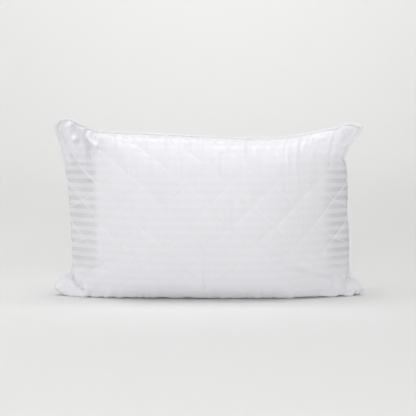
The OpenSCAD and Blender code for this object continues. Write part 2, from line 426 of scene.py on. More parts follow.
# How far a stitch line draws the cloth in above and below itself, and how far its puff reaches.
TUCK_ABOVE, TUCK_BELOW, PUFF_REACH = 10 * MM, 4 * MM, 30 * MM
# How far a stitch line, a seam and a corner thin the wadding, and the distance that it thickens over.
LINE_PINCH, SEAM_PINCH, CORNER_PINCH, CORNER_EASE = 12 * MM, 35 * MM, 130 * MM, 60 * MM


def stitch_distances(x, z):
    """Distance on the flat panel above the nearest falling and above the nearest rising stitch line, with a
    minus sign below it. The lines meet half a diamond from the panel's middle."""
    shape = settings("shape")
    long, wide = shape.cut_length / shape.diamonds_long, shape.cut_width / shape.diamonds_wide
    spacing = long * wide / math.hypot(long, wide)

    def above(u):
        return (u - 0.5 - np.round(u - 0.5)) * spacing

    return above(x / long + z / wide), -above(x / long - z / wide)


def line_strength(x, z, side):
    """How hard the falling and the rising lines pull: less near the ground and on each one's slack side."""
    height = ease((z + 0.14) / 0.15)
    if side == BACK:
        return 0.35 + 0.65 * height, 0.35 + 0.65 * height
    falling = 0.55 + 0.45 * ease((0.24 - x) / 0.34)
    rising = (0.50 + 0.50 * ease((x + 0.18) / 0.34)) * (1 - 0.8 * ease((z - 0.09) / 0.06))
    return falling * (0.12 + 0.88 * height), rising * (0.12 + 0.88 * height)


def quilting(x, z, side):
    """Height of the quilting over the filled shape. Each line is a tuck, e to the minus distance, that falls
    away slowly above the line and steeply below it. Between the lines stands a puff, the product of one such
    rise from each family."""
    shape = settings("shape")
    distances, pulls = stitch_distances(x, z), line_strength(x, z, side)

    def rises(reach_above, reach_below):
        for above, pull in zip(distances, pulls):
            yield pull * np.exp(-np.abs(above) / np.where(above > 0, reach_above, reach_below))

    tuck = np.maximum(*rises(TUCK_ABOVE, TUCK_BELOW))
    down, up = rises(PUFF_REACH, PUFF_REACH)
    inside = ease(seam_distance(x, z) / 0.03)
    fuller = 1 + 0.6 * ease((np.abs(x) - 0.27) / 0.05)
    return inside * fuller * (shape.puff_height * (1 - down) * (1 - up) - shape.quilt_depth * tuck)


def painted_stitch_highlight(x, z, side):
    """A painted highlight along the stitch lines: 1 on a stitch line, fading over a millimetre beside it,
    and weaker where the line pulls less.
    """
    pairs = zip(stitch_distances(x, z), line_strength(x, z, side))
    return np.maximum(*(pull * np.exp(-np.abs(above) / (1.2 * MM)) for above, pull in pairs))


def gathers(along, away, seed, pitch, reach):
    """Puckers that run off a seam: the absolute value of noise along the seam, so that rounded ridges meet
    in sharp creases, drawn out away from the seam and fading with distance."""
    ridges = np.abs(soft_noise(along / pitch + 40, away / 0.12 + 3, seed)) - 0.35
    finer = soft_noise(along / (0.5 * pitch) + 9, away / 0.06 + 5, seed + 1)
    length = reach * (1 + 0.45 * soft_noise(along / 0.05 + 11, along * 0, seed + 2))
    return (2.2 * ridges + 0.4 * finer) * np.exp(-away / length) * ease(away / 0.006)


# Puckers off each seam: seed, pitch along the seam, reach away from it and height.
GATHERS = {
    "top": (0, 0.0105, 0.110, 1.9 * MM),
    "bottom": (10, 0.022, 0.060, 2.6 * MM),
    "left": (20, 0.016, 0.026, 1.6 * MM),
    "right": (30, 0.016, 0.030, 1.8 * MM),
}


def seam_gathers(x, z, side):
    """Gathers off all four seams, deepest at the corners, and a row of bumps above the bottom seam."""
    shape = settings("shape")
    half_length, half_width = shape.cut_length / 2, shape.cut_width / 2
    corner = bell((half_length - np.abs(x)) / 0.09) * bell((half_width - np.abs(z)) / 0.09)
    seed = 100 if side == FRONT else 200
    places = {"top": (x, half_width - z), "bottom": (x, half_width + z),
              "left": (z, half_length + x), "right": (z, half_length - x)}
    puckers = sum(gathers(*places[seam], seed + own, pitch, reach) * height
                  for seam, (own, pitch, reach, height) in GATHERS.items())
    bumps = np.abs(soft_noise(x / 0.017 + 30, z / 0.04 + 7, seed + 15))
    return puckers * (1 + 0.9 * corner) + 3.0 * MM * bumps * bell((half_width + z - 0.062) / 0.024)


def slack(x, z, side):
    """The cloth's slow unevenness over the filling: two octaves of soft noise."""
    seed = 300 if side == FRONT else 400
    lumps = soft_noise(x / 0.07 + 20, z / 0.06 + 20, seed) * 1.6 * MM
    folds = soft_noise(x / 0.022 + 20, z / 0.030 + 20, seed + 1) * 0.35 * MM
    return (lumps + folds) * ease(seam_distance(x, z) / 0.05)


def fold(x, z, start, end, height, width):
    """A ridge, or with a negative height a crease, along the straight line between two places on the panel:
    a bell across the line that eases in and out at its ends."""
    start, end = np.array(start), np.array(end)
    run = end - start
    length = np.hypot(*run)
    along = ((x - start[0]) * run[0] + (z - start[1]) * run[1]) / length
    across = ((x - start[0]) * run[1] - (z - start[1]) * run[0]) / length
    return height * bell(across / width) * ease(along / width) * ease((length - along) / width)


def crumple(x, z, centre, height, reach):
    """Small bumps round one place on the panel: the absolute value of noise under a bell."""
    bumps = np.abs(soft_noise(x / 0.011 + 40, z / 0.013 + 40, 500)) - 0.3
    return 2 * height * bumps * bell(np.hypot(x - centre[0], z - centre[1]) / reach)


# Crumpled places of the front panel: middle, height and reach.
FRONT_CRUMPLES = [
    ((-0.355, 0.190), 2.4 * MM, 0.045),
    ((-0.300, 0.195), 1.6 * MM, 0.040),
    ((-0.350, -0.205), 1.8 * MM, 0.040),
    ((0.345, -0.205), 1.6 * MM, 0.040),
    ((0.345, 0.190), 1.0 * MM, 0.040),
]

# Ridges and creases of the front panel: start and end on the flat panel, height and width.
FRONT_FOLDS = [
    ((-0.008, -0.040), (-0.006, -0.165), -1.8 * MM, 0.005),
    ((-0.356, 0.254), (-0.322, 0.205), 10 * MM, 0.010),
    ((-0.330, 0.222), (-0.316, 0.148), 11 * MM, 0.009),
    ((-0.320, 0.168), (-0.294, 0.108), 8 * MM, 0.006),
    ((-0.303, 0.240), (-0.298, 0.160), -5 * MM, 0.010),
    ((-0.322, 0.252), (-0.264, 0.194), 8 * MM, 0.008),
    ((-0.349, 0.215), (-0.345, 0.150), -5 * MM, 0.008),
    ((-0.372, -0.180), (-0.310, -0.203), -9 * MM, 0.006),
    ((-0.348, -0.178), (-0.314, -0.180), -4 * MM, 0.012),
    ((0.353, -0.184), (0.350, -0.224), -5 * MM, 0.006),
]


# Where along the pillow the stripes start to run level, and the distance over which they come to it.
LEVEL_FROM, LEVEL_EASE = 0.18, 0.08
# Where the painted shade on the left and the right side starts, as the cloth starts to turn round them, and
# the distance that it deepens over.
LEFT_SHADE_FROM, LEFT_EASE, RIGHT_SHADE_FROM, RIGHT_EASE = 0.245, 0.020, 0.256, 0.045


def cloth_places(grid):
    """Distances measured over the surface along its rows and columns, from the middle of each: the places
    that the stripes and the weave are laid out on. Towards the sides the stripes run level."""

    def along(g):
        steps = np.linalg.norm(np.diff(g, axis=0), axis=-1)
        total = np.concatenate([np.zeros_like(steps[:1]), np.cumsum(steps, 0)])
        return total - total[len(total) // 2]

    across = along(grid.swapaxes(0, 1)).T
    column = len(grid) // 6
    level = np.interp(grid[..., 2], grid[column, :, 2], across[column])
    share = ease((np.abs(grid[..., 0]) - LEVEL_FROM) / LEVEL_EASE) * ease(grid[..., 2] / 0.03)
    return along(grid), across + (level - across) * share


def painted_side_shade(grid):
    """Painted shade on the sides, from 0 to 1 between the corners: how far the cloth has turned round a side
    of the pillow, unevenly and more on the right. The sateen darkens by it.
    """
    across, _, up = np.moveaxis(grid, -1, 0)
    uneven = 0.8 + 0.2 * soft_noise(across / 0.03 + 30, up / 0.03 + 30, 800)
    share = ease((-across - LEFT_SHADE_FROM) / LEFT_EASE) + 1.2 * ease((across - RIGHT_SHADE_FROM) / RIGHT_EASE)
    return uneven * share * ease((0.340 - up) / 0.05) * ease((up - 0.035) / 0.07)


def side_swell(x, z):
    """How far the cloth stands out past a side seam between the corners: a bell across the strip beside the
    seam, eased in from the seam and towards both corners."""
    shape = settings("shape")
    away = shape.cut_length / 2 - np.abs(x)
    window = ease((z + 0.19) / 0.05) * ease((0.165 - z) / 0.06)
    return np.sign(x) * shape.side_swell * ease(away / 0.018) * bell((away - 0.020) / 0.030) * window


def surface_normals(grid, side):
    """Outward normals from the differences between neighbouring rows and columns."""
    du = np.gradient(grid, axis=0)
    dv = np.gradient(grid, axis=1)
    return unit(np.cross(du, dv)) * (1 if side == FRONT else -1)


_surfaces = {}


def pillow_surfaces():
    """The two quilted outer surfaces as grids of points, with their places on the flat panel and their
    normals. They are worked out once."""
    if _surfaces:
        return _surfaces
    shape = settings("shape")
    cells_x, cells_z = 4 * shape.diamonds_long * SIM_CELLS, 4 * shape.diamonds_wide * SIM_CELLS
    smooth = filled_shape(cells_x, cells_z)
    places = flat_places(cells_x, cells_z)
    pairs = zip(smooth, inflate(*smooth, frames=SIM_FRAMES))
    smooth = [calmed(start, moved, *places) for start, moved in pairs]
    for side, grid in zip((FRONT, BACK), smooth):
        grid = refined(grid)
        x, z = flat_places(2 * cells_x, 2 * cells_z)
        rise = quilting(x, z, side) + seam_gathers(x, z, side) + slack(x, z, side)
        if side == FRONT:
            creases = sum(fold(x, z, *row) for row in FRONT_FOLDS)
            creases += sum(crumple(x, z, *row) for row in FRONT_CRUMPLES)
            rise += creases * ease(seam_distance(x, z) / CREASE_EASE)
        rise[rim_mask(2 * cells_x, 2 * cells_z)] = 0
        grid[..., 0] += side_swell(x, z)
        normals = surface_normals(grid, side)
        # The turned attribute holds painted shade on the sides, and the stitched one a painted highlight
        # along the stitch lines.
        cloth = {"places": cloth_places(grid), "turned": painted_side_shade(grid)}
        cloth["stitched"] = painted_stitch_highlight(x, z, side)
        grid = grid + normals * rise[..., None]
        grid[..., 2] = np.maximum(grid[..., 2], 0)
        _surfaces[side] = {"grid": grid, "normals": surface_normals(grid, side), "x": x, "z": z, **cloth}
    return _surfaces


# ------------------------------------------------------------------ meshes


def grid_faces(count_u, count_v, first=0, turned=False, falling=None):
    """Triangles over a grid of points. Each cell splits along its rising diagonal, or along the falling one
    where falling is true."""
    n = first + np.arange(count_u * count_v).reshape(count_u, count_v)
    a, b, c, d = n[:-1, :-1], n[1:, :-1], n[1:, 1:], n[:-1, 1:]
    rising = np.stack([a, b, c, a, c, d], -1)
    other = np.stack([a, b, d, b, c, d], -1)
    choice = np.zeros(a.shape, bool) if falling is None else falling
    faces = np.where(choice[..., None], other, rising).reshape(-1, 3)
    return faces[:, ::-1] if turned else faces


def make_object(name, points, faces, uvs=None, smooth=True):
    """A mesh object at the origin from arrays of points, triangles or quads, and places on the cloth."""
    faces = np.asarray(faces)
    mesh = bpy.data.meshes.new(name)
    sides = faces.shape[1]
    mesh.vertices.add(len(points))
    mesh.vertices.foreach_set("co", np.asarray(points, np.float32).ravel())
    mesh.loops.add(faces.size)
    mesh.loops.foreach_set("vertex_index", faces.ravel().astype(np.int32))
    mesh.polygons.add(len(faces))
    mesh.polygons.foreach_set("loop_start", np.arange(0, faces.size, sides, dtype=np.int32))
    if uvs is not None:
        layer = mesh.uv_layers.new(name="cloth")
        layer.data.foreach_set("uv", np.asarray(uvs, np.float32)[faces.ravel()].ravel())
    mesh.update(calc_edges=True)
    mesh.validate()
    mesh.polygons.foreach_set("use_smooth", np.full(len(mesh.polygons), smooth))
    made = bpy.data.objects.new(name, mesh)
    bpy.context.scene.collection.objects.link(made)
    return made


def cell_distances(x, z):
    """Distances from the stitch lines at the middle of each cell, from its corners' flat places."""
    return stitch_distances((x[1:, :-1] + x[:-1, 1:]) / 2, (z[1:, :-1] + z[:-1, 1:]) / 2)


def line_cells(x, z):
    """Which cells lie nearer to a falling stitch line than to a rising one."""
    down, up = cell_distances(x, z)
    return np.abs(down) < np.abs(up)


def rim_order(count_u, count_v):
    """Indices of a grid's rim, once round from its first corner."""
    n = np.arange(count_u * count_v).reshape(count_u, count_v)
    return np.concatenate([n[:-1, 0], n[-1, :-1], n[:0:-1, -1], n[0, :0:-1]])


def shell_object(name, outer, inner, places, side, cloth=None):
    """A closed shell between two grids, joined round their rims. Its UV map holds places on the cloth."""
    count_u, count_v = outer.shape[:2]
    size = count_u * count_v
    cells = line_cells(*places)
    rim = rim_order(count_u, count_v)
    following = np.roll(rim, -1)
    wall = np.concatenate([
        np.stack([following, rim, rim + size], -1),
        np.stack([following, rim + size, following + size], -1)])
    outside = grid_faces(count_u, count_v, 0, side == BACK, cells)
    inside = grid_faces(count_u, count_v, size, side == FRONT, cells)
    if side == BACK:
        wall = wall[:, ::-1]
    faces = np.concatenate([outside, inside, wall])
    points = np.concatenate([outer.reshape(-1, 3), inner.reshape(-1, 3)])
    uv = np.stack([place.ravel() for place in cloth or places], -1)
    return make_object(name, points, faces, np.concatenate([uv, uv]))


def layer_depths(x, z):
    """Depths of the cover's, the wadding's and the lining's inner faces below the outer surface. They close
    up towards the rim, where the layers are stitched together, and the wadding is thin in the corners."""
    cloth = settings("cloth")
    down, up = np.abs(stitch_distances(x, z))
    puff = (1 - np.exp(-down / LINE_PINCH)) * (1 - np.exp(-up / LINE_PINCH))
    shape = settings("shape")
    corner = np.hypot(shape.cut_length / 2 - np.abs(x), shape.cut_width / 2 - np.abs(z))
    room = ease(seam_distance(x, z) / SEAM_PINCH)
    fullness = puff * room * (0.06 + 0.94 * ease((corner - CORNER_PINCH) / CORNER_EASE))
    wadding = cloth.pinched * (0.3 + 0.7 * room) + (cloth.wadding - cloth.pinched) * fullness
    first = np.full_like(x, cloth.cover)
    return first, first + wadding, first + wadding + cloth.lining


def under_surface(side, depth, step=1):
    """The outer surface moved inwards by a depth. At the rim the layers keep their order beside the middle
    plane."""
    surface = pillow_surfaces()[side]
    grid = surface["grid"] - surface["normals"] * depth[..., None]
    rim = rim_mask(grid.shape[0] - 1, grid.shape[1] - 1)
    edge = surface["grid"].copy()
    edge[..., 1] += side * np.maximum(EDGE - depth, 0.3 * MM)
    grid[rim] = edge[rim]
    return grid[::step, ::step]


def add_material(piece, material):
    """Puts one material on a piece."""
    piece.data.materials.clear()
    piece.data.materials.append(material)
    return piece


def settle(piece, slot, *nodes):
    """Rides a piece on the frame and hides the nodes that it stands for. Its slot is not used."""
    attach(piece, "root")
    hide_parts(*nodes)
    return piece


def stitches_object(name, starts, ends, lifts, radius, rise):
    """Small capsules, one for each start and end: each arches off the cloth by a sine of its length and is
    thickest halfway."""
    rings = sides = 4
    t = np.linspace(0, 1, rings)
    turn = np.arange(sides) * 2 * np.pi / sides
    along = unit(ends - starts)
    across = unit(np.cross(along, lifts))
    up = np.cross(across, along)
    arch = np.sin(np.pi * t)
    centre = (starts[:, None] + (ends - starts)[:, None] * t[None, :, None]
              + up[:, None] * (rise * (arch - 0.25))[None, :, None])
    thick = (radius * (0.45 + 0.55 * arch))[None, :, None, None]
    around = (across[:, None, None] * np.cos(turn)[None, None, :, None]
              + up[:, None, None] * np.sin(turn)[None, None, :, None])
    points = (centre[:, :, None] + thick * around).reshape(-1, 3)
    n = np.arange(rings * sides).reshape(rings, sides)
    a, b = n[:-1], np.roll(n, -1, 1)[:-1]
    c, d = np.roll(n, -1, 1)[1:], n[1:]
    wall = [np.stack(corners, -1).reshape(-1, 3) for corners in ([a, b, c], [a, c, d])]
    start_cap = np.array([[0, 2, 1], [0, 3, 2]])
    end_cap = np.array([[0, 1, 2], [0, 2, 3]]) + (rings - 1) * sides
    one = np.concatenate([*wall, start_cap, end_cap])
    faces = (one[None] + (np.arange(len(starts)) * rings * sides)[:, None, None]).reshape(-1, 3)
    place = np.repeat(np.stack([t, np.zeros(rings)], -1), sides, 0)
    return make_object(name, points, faces[:, ::-1], np.tile(place, (len(starts), 1)))


def tube_object(name, path, outward, side_way, radii, sides, closed_inside=None):
    """A closed ring of tube along the rim: at each place a circle whose radius may change with the angle and
    the place. With closed_inside the tube is a shell round a hollow of that radius."""
    turn = np.linspace(0, 2 * np.pi, sides, endpoint=False)

    def skin(r):
        r = np.broadcast_to(r, (len(path), sides))
        ring = (outward[:, None] * np.cos(turn)[None, :, None]
                + side_way[:, None] * np.sin(turn)[None, :, None])
        return (path[:, None] + ring * r[..., None]).reshape(-1, 3)

    n = np.arange(len(path) * sides).reshape(len(path), sides)
    a, b = n, np.roll(n, -1, 1)
    c, d = np.roll(b, -1, 0), np.roll(a, -1, 0)
    faces = np.stack([a, b, c, d], -1).reshape(-1, 4)
    along = np.concatenate([[0], np.cumsum(np.linalg.norm(np.diff(path, axis=0), axis=1))])
    uv = np.stack(np.broadcast_arrays(along[:, None], turn[None] * 0.0034), -1).reshape(-1, 2)
    if closed_inside is None:
        return make_object(name, skin(radii), faces, uv)
    points = np.concatenate([skin(radii), skin(closed_inside)])
    faces = np.concatenate([faces, faces[:, ::-1] + n.size])
    return make_object(name, points, faces, np.concatenate([uv, uv]))


# ------------------------------------------------------------------ materials


class Tree:
    """A node tree that is written in one line a node."""

    def __init__(self, tree):
        self.tree = tree

    def feed(self, socket, value):
        """Links an output to the socket, or gives the socket a plain value."""
        if isinstance(value, bpy.types.NodeSocket):
            self.tree.links.new(value, socket)
        else:
            socket.default_value = value

    def add(self, kind, values=None, **options):
        """A node with some of its sockets set or linked, named by socket name or number."""
        node = self.tree.nodes.new(kind)
        for key, value in options.items():
            setattr(node, key, value)
        for key, value in (values or {}).items():
            self.feed(node.inputs[key], value)
        return node

    def math(self, operation, *values, clamp=False):
        """One sum, as its output socket."""
        node = self.add("ShaderNodeMath", dict(enumerate(values)), operation=operation, use_clamp=clamp)
        return node.outputs[0]

    def mix(self, factor, a, b):
        """A blend of two colours."""
        return self.add("ShaderNodeMix", {0: factor, 6: a, 7: b}, data_type="RGBA").outputs[2]

    def group(self, name, **values):
        """A node group's outputs, with its inputs set or linked."""
        named = {key.replace("_", " ").capitalize(): value for key, value in values.items()}
        return self.add("ShaderNodeGroup", named, node_tree=bpy.data.node_groups[name]).outputs

    def place(self):
        """Places on the cloth, from the UV map."""
        return self.add("ShaderNodeUVMap", uv_map="cloth").outputs[0]


def new_group(name, inputs, outputs):
    """An empty node group with named sockets, and its tree, input node and output node."""
    group = bpy.data.node_groups.new(name, "ShaderNodeTree")
    for label, kind, value in inputs:
        socket = group.interface.new_socket(label, in_out="INPUT", socket_type=f"NodeSocket{kind}")
        if value is not None:
            socket.default_value = value
    for label, kind in outputs:
        group.interface.new_socket(label, in_out="OUTPUT", socket_type=f"NodeSocket{kind}")
    tree = Tree(group)
    return tree, tree.add("NodeGroupInput").outputs, tree.add("NodeGroupOutput")


def stripes_group():
    """A mask that is 1 on a satin stripe and 0 on a plain one, with soft edges, from places on the cloth."""
    tree, given, out = new_group(
        "satin_stripes", [("Place", "Vector", None), ("Repeat", "Float", 0.02)], [("Mask", "Float")])
    across = tree.add("ShaderNodeSeparateXYZ", {0: given["Place"]}).outputs[1]
    share = tree.math("PINGPONG", tree.math("DIVIDE", across, given["Repeat"]), 0.5)
    edge = tree.add("ShaderNodeMapRange", {"Value": share, "From Min": 0.235, "From Max": 0.265},
                    interpolation_type="SMOOTHSTEP")
    tree.feed(out.inputs["Mask"], edge.outputs[0])


def weave_group():
    """Crossing threads: the height of a weave of one pitch, as the sum of two families of sine ribs."""
    tree, given, out = new_group(
        "fine_weave", [("Place", "Vector", None), ("Pitch", "Float", 0.0006), ("Warp share", "Float", 0.5)],
        [("Height", "Float")])
    parts = tree.add("ShaderNodeSeparateXYZ", {0: given["Place"]}).outputs
    turns = [tree.math("MULTIPLY", part, math.pi) for part in parts[:2]]
    sines = [tree.math("SINE", tree.math("DIVIDE", turn, given["Pitch"])) for turn in turns]
    ribs = [tree.math("ABSOLUTE", sine) for sine in sines]
    warp = tree.math("MULTIPLY", ribs[0], given["Warp share"])
    weft = tree.math("MULTIPLY", ribs[1], tree.math("SUBTRACT", 1.0, given["Warp share"]))
    tree.feed(out.inputs["Height"], tree.math("ADD", warp, weft))


def mottle_group():
    """Slow changes from 0 to 1 over a surface, from noise with its contrast set."""
    tree, given, out = new_group(
        "mottle", [("Place", "Vector", None), ("Scale", "Float", 20.0), ("Contrast", "Float", 1.0)],
        [("Value", "Float")])
    broad = tree.add(
        "ShaderNodeTexNoise", {"Vector": given["Place"], "Scale": given["Scale"], "Detail": 3.0})
    spread = tree.math("MULTIPLY", tree.math("SUBTRACT", broad.outputs[0], 0.5), given["Contrast"])
    tree.feed(out.inputs["Value"], tree.math("ADD", spread, 0.5, clamp=True))


def fibres_group():
    """Tangled fibres: distorted noise over larger clumps, as a height."""
    tree, given, out = new_group(
        "fibres", [("Place", "Vector", None), ("Scale", "Float", 300.0)], [("Height", "Float")])
    fine = tree.add("ShaderNodeTexNoise", {"Vector": given["Place"], "Scale": given["Scale"], "Detail": 5.0,
                                           "Distortion": 2.5})
    clumps = tree.add("ShaderNodeTexVoronoi", {"Vector": given["Place"],
                                               "Scale": tree.math("MULTIPLY", given["Scale"], 0.12)})
    height = tree.math("ADD", fine.outputs[0], tree.math("MULTIPLY", clumps.outputs["Distance"], 0.8))
    tree.feed(out.inputs["Height"], height)


def new_material(name, color, roughness, sheen=0.0):
    """A Principled material, its tree and its shader."""
    material = bpy.data.materials.new(name)
    material.use_nodes = True
    material.diffuse_color = color
    tree = Tree(material.node_tree)
    shader = material.node_tree.nodes["Principled BSDF"]
    shader.inputs["Base Color"].default_value = color
    shader.inputs["Roughness"].default_value = roughness
    shader.inputs["Sheen Weight"].default_value = sheen
    shader.inputs["Sheen Roughness"].default_value = 0.5
    return material, tree, shader


def shade(color, factor):
    """The colour times a factor."""
    return [*(min(1.0, c * factor) for c in color[:3]), 1.0]


def bump(tree, shader, height, strength, distance):
    """Feeds a height into the shader's normal."""
    node = tree.add("ShaderNodeBump", {"Height": height, "Strength": strength, "Distance": distance})
    tree.feed(shader.inputs["Normal"], node.outputs[0])


def sateen_material(name, striped=True):
    """White sateen. Satin stripes are smoother and a little brighter than the plain ones between them, and
    stand a hair above them. Where the cloth turns round the sides both stripes are darkened with painted
    shade, the plain ones more, so that the satin stripes show a painted sheen there, and along the stitch
    lines the cloth is painted paler as a painted highlight: the covers carry both as attributes of their
    points."""
    cloth = settings("cloth")
    white = list(cloth.white)
    material, tree, shader = new_material(name, white, 0.5, 0.12)
    place = tree.place()
    spots = tree.group("mottle", place=place, scale=9.0, contrast=0.9)[0]
    weave = tree.group("fine_weave", place=place, pitch=0.0007, warp_share=0.6)[0]
    mask, color = 0.5, shade(white, 0.99)
    if striped:
        mask = tree.group("satin_stripes", place=place, repeat=cloth.stripe)[0]
        # Painted light: by the turned attribute the plain stripes darken to 0.77 and the satin ones to 0.90
        # of the white, as painted shade on the sides with a painted sheen on the satin stripes; by the
        # stitched attribute the cloth pales to 1.07 of the white, as a painted highlight along the stitch
        # lines.
        turned = tree.add("ShaderNodeAttribute", attribute_name="turned").outputs["Fac"]
        stitched = tree.add("ShaderNodeAttribute", attribute_name="stitched").outputs["Fac"]
        plain = tree.mix(turned, shade(white, 0.985), shade(white, 0.77))
        satin = tree.mix(turned, white, shade(white, 0.90))
        color = tree.mix(stitched, tree.mix(mask, plain, satin), shade(white, 1.07))
    color = tree.mix(tree.math("MULTIPLY", spots, 0.04), color, shade(white, 0.86))
    tree.feed(shader.inputs["Base Color"], color)
    rough = tree.math("ADD", tree.math("MULTIPLY", mask, -0.26), 0.66)
    rough = tree.math("ADD", rough, tree.math("MULTIPLY", spots, 0.06))
    tree.feed(shader.inputs["Roughness"], rough)
    height = tree.math("ADD", tree.math("MULTIPLY", weave, 0.25), tree.math("MULTIPLY", mask, 1.0))
    bump(tree, shader, height, 0.35, 0.12 * MM)
    return material


def fibre_material(name, color, scale, roughness=0.95):
    """Matted fibres: fuzzy, with darker hollows between the clumps."""
    material, tree, shader = new_material(name, color, roughness, 0.5)
    place = tree.add("ShaderNodeTexCoord").outputs["Object"]
    height = tree.group("fibres", place=place, scale=scale)[0]
    spots = tree.group("mottle", place=place, scale=scale * 0.1, contrast=1.4)[0]
    tree.feed(shader.inputs["Base Color"], tree.mix(spots, shade(color, 0.86), shade(color, 1.04)))
    bump(tree, shader, height, 0.8, 1.2 * MM)
    return material


def lining_material():
    """Bonded lining: thin, matt and embossed with small round dots on a grid."""
    color = shade(settings("cloth").fibre, 0.97)
    material, tree, shader = new_material("lining_cloth", color, 0.8, 0.1)
    place = tree.place()
    dots = tree.add("ShaderNodeTexVoronoi", {"Vector": place, "Scale": 420.0, "Randomness": 0.15})
    dot = tree.add(
        "ShaderNodeMapRange", {"Value": dots.outputs["Distance"], "From Min": 0.18, "From Max": 0.30})
    spots = tree.group("mottle", place=place, scale=60.0, contrast=1.2)[0]
    mottled = tree.mix(tree.math("MULTIPLY", spots, 0.5), shade(color, 1.02), shade(color, 0.93))
    tree.feed(shader.inputs["Base Color"], mottled)
    bump(tree, shader, dot.outputs[0], 0.5, 0.2 * MM)
    return material


def twisted_material(name, color, pitch, roughness):
    """Twisted yarn: slanting ribs round a thread or a cord, with painted shade darkening the grooves between
    them.
    """
    material, tree, shader = new_material(name, color, roughness, 0.2)
    place = tree.place()
    parts = tree.add("ShaderNodeSeparateXYZ", {0: place}).outputs
    along, around = (tree.math("DIVIDE", part, size) for part, size in zip(parts, (pitch, pitch * 1.4)))
    slant = tree.math("ADD", along, around)
    rib = tree.math("ABSOLUTE", tree.math("SINE", tree.math("MULTIPLY", slant, math.pi)))
    # Painted shade: the yarn is painted darker in the grooves between the ribs.
    tree.feed(shader.inputs["Base Color"], tree.mix(rib, shade(color, 0.8), shade(color, 1.03)))
    bump(tree, shader, rib, 0.6, 0.15 * MM)
    return material


def label_material():
    """Blank woven ribbon with finely ribbed selvedges."""
    color = (0.82, 0.82, 0.82, 1)
    material, tree, shader = new_material("woven_ribbon", color, 0.45, 0.1)
    place = tree.place()
    weave = tree.group("fine_weave", place=place, pitch=0.0009, warp_share=0.75)[0]
    spots = tree.group("mottle", place=place, scale=120.0, contrast=1.0)[0]
    tree.feed(shader.inputs["Base Color"], tree.mix(spots, shade(color, 0.96), shade(color, 1.02)))
    bump(tree, shader, weave, 0.5, 0.1 * MM)
    return material


def floor_material():
    """Smooth painted sweep with the faintest unevenness."""
    color = list(settings("stage").floor)
    material, tree, shader = new_material("painted_sweep", color, 0.85)
    place = tree.add("ShaderNodeTexCoord").outputs["Object"]
    spots = tree.group("mottle", place=place, scale=2.0, contrast=1.0)[0]
    tree.feed(shader.inputs["Base Color"], tree.mix(spots, shade(color, 0.995), shade(color, 1.005)))
    return material


# ------------------------------------------------------------------ operators


TUFT = 0.25 * MM
ON_LINE = 0.1 * MM
STITCH_GAP = 0.12  # share of a stitch's cell that each of its ends keeps clear
PIPE_SIDES = 14
# Shares of the piping's radius: the cord, the hollow round it, and how far its middle stands off the rim.
CORD_SHARE, HOLLOW_SHARE, STAND_OFF = 0.64, 0.74, 0.4
CORD_COLOUR = (0.74, 0.72, 0.66, 1)
LABEL_ROWS = 17


def both_sides(kind):
    """For the front and the back: the side, its node's name, its surface, its places on the flat panel and
    its layers' depths."""
    for side, word in ((FRONT, "front"), (BACK, "back")):
        surface = pillow_surfaces()[side]
        places = (surface["x"], surface["z"])
        yield side, f"{word}_{kind}", surface, places, layer_depths(*places)


def rim_frame():
    """The rim once round, with its outward and sideways directions at each place."""
    grid = pillow_surfaces()[FRONT]["grid"]
    path = grid.reshape(-1, 3)[rim_order(*grid.shape[:2])]
    tangent = unit(np.roll(path, -1, 0) - np.roll(path, 1, 0))
    for _ in range(3):
        tangent = unit(np.roll(tangent, 1, 0) + 2 * tangent + np.roll(tangent, -1, 0))
    outward = unit(np.cross(tangent, np.array([0.0, -1.0, 0.0])))
    return path, outward, np.cross(outward, tangent)


class PillowOperator(bpy.types.Operator):
    """Shared options of the pillow's operators."""

    bl_options = {"REGISTER", "UNDO"}


class PILLOW_OT_covers(PillowOperator):
    """Front and back covers in satin-stripe sateen"""

    bl_idname = "pillow.covers"
    bl_label = "Covers"

    def execute(self, context):
        """Makes a shell of each quilted surface."""
        material = sateen_material("satin_stripe_sateen")
        shape = settings("shape")
        for side, name, surface, places, depths in both_sides("cover"):
            outer = under_surface(side, np.zeros_like(depths[0]))
            inner = under_surface(side, depths[0])
            piece = shell_object(f"quilted_{name}", outer, inner, places, side, surface["places"])
            # The turned attribute carries painted shade on the sides, and the stitched one a painted
            # highlight on the stitch lines.
            for share in ("turned", "stitched"):
                layer = piece.data.attributes.new(share, "FLOAT", "POINT")
                layer.data.foreach_set("value", np.tile(surface[share].ravel(), 2).astype(np.float32))
            settle(add_material(piece, material), "satin_stripe_cover", name)
        return {"FINISHED"}


class PILLOW_OT_wadding(PillowOperator):
    """Wadding under each cover"""

    bl_idname = "pillow.wadding"
    bl_label = "Wadding"

    def execute(self, context):
        """Fills the room between the cover and the lining, pinched at the stitch lines."""
        material = fibre_material("matted_wadding", list(settings("cloth").fibre), 500.0)
        for side, name, _, places, depths in both_sides("wadding"):
            tuft = TUFT * (1 + soft_noise(*(place / 0.006 + 30 for place in places), 500 + side))
            outer = under_surface(side, depths[0] + 0.1 * MM + tuft * 0.6)
            inner = under_surface(side, depths[1] - 0.05 * MM)
            piece = add_material(shell_object(f"quilted_{name}", outer, inner, places, side), material)
            settle(piece, "wadding", name)
        return {"FINISHED"}


class PILLOW_OT_linings(PillowOperator):
    """Lining behind each wadding"""

    bl_idname = "pillow.linings"
    bl_label = "Linings"

    def execute(self, context):
        """Makes a thin shell inside the wadding."""
        material = lining_material()
        shape = settings("shape")
        for side, name, _, places, depths in both_sides("lining"):
            coarse = [place[::2, ::2] for place in places]
            shell = shell_object(f"stitched_{name}", under_surface(side, depths[1], 2),
                                 under_surface(side, depths[2], 2), coarse, side)
            settle(add_material(shell, material), "lining", name)
        return {"FINISHED"}


